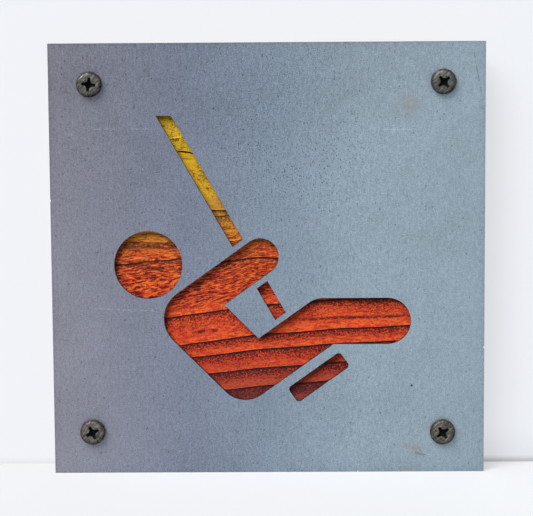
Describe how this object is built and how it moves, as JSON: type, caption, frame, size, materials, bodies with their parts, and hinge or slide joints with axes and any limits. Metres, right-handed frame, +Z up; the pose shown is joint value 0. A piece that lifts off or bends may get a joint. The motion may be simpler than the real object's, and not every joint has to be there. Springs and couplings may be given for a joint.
{
  "type": "silhouette sign",
  "caption": "Square steel sign plate with a swing pictogram cut through it, screwed over a stained wooden board with a keyhole hanger behind.",
  "frame": {"origin": "centre of the footprint, at the plate's bottom edge", "axes": "the picture side looks along -Y, the wall side along +Y, +Z is up and +X is to the viewer's right"},
  "size_m": [0.15, 0.0176, 0.15],
  "materials": {
    "sheet_steel": "bare rolled sheet, satin, with fine upright streaks",
    "stained_wood": "brushed softwood, stained yellow to dark red, matt",
    "screw_zinc": "old dull zinc with brown patina",
    "hanger_steel": "bright zinc, satin",
    "felt": "matt felt"
  },
  "bodies": {
    "root": {"face_plate": "sheet_steel", "back_board": "stained_wood", "face_screw_top_left": "screw_zinc", "face_screw_top_right": "screw_zinc", "face_screw_bottom_left": "screw_zinc", "face_screw_bottom_right": "screw_zinc", "keyhole_hanger": "hanger_steel", "hanger_screw_left": "hanger_steel", "hanger_screw_right": "hanger_steel", "wall_pad_top_left": "felt", "wall_pad_top_right": "felt", "wall_pad_bottom_left": "felt", "wall_pad_bottom_right": "felt"}
  },
  "joints": []
}
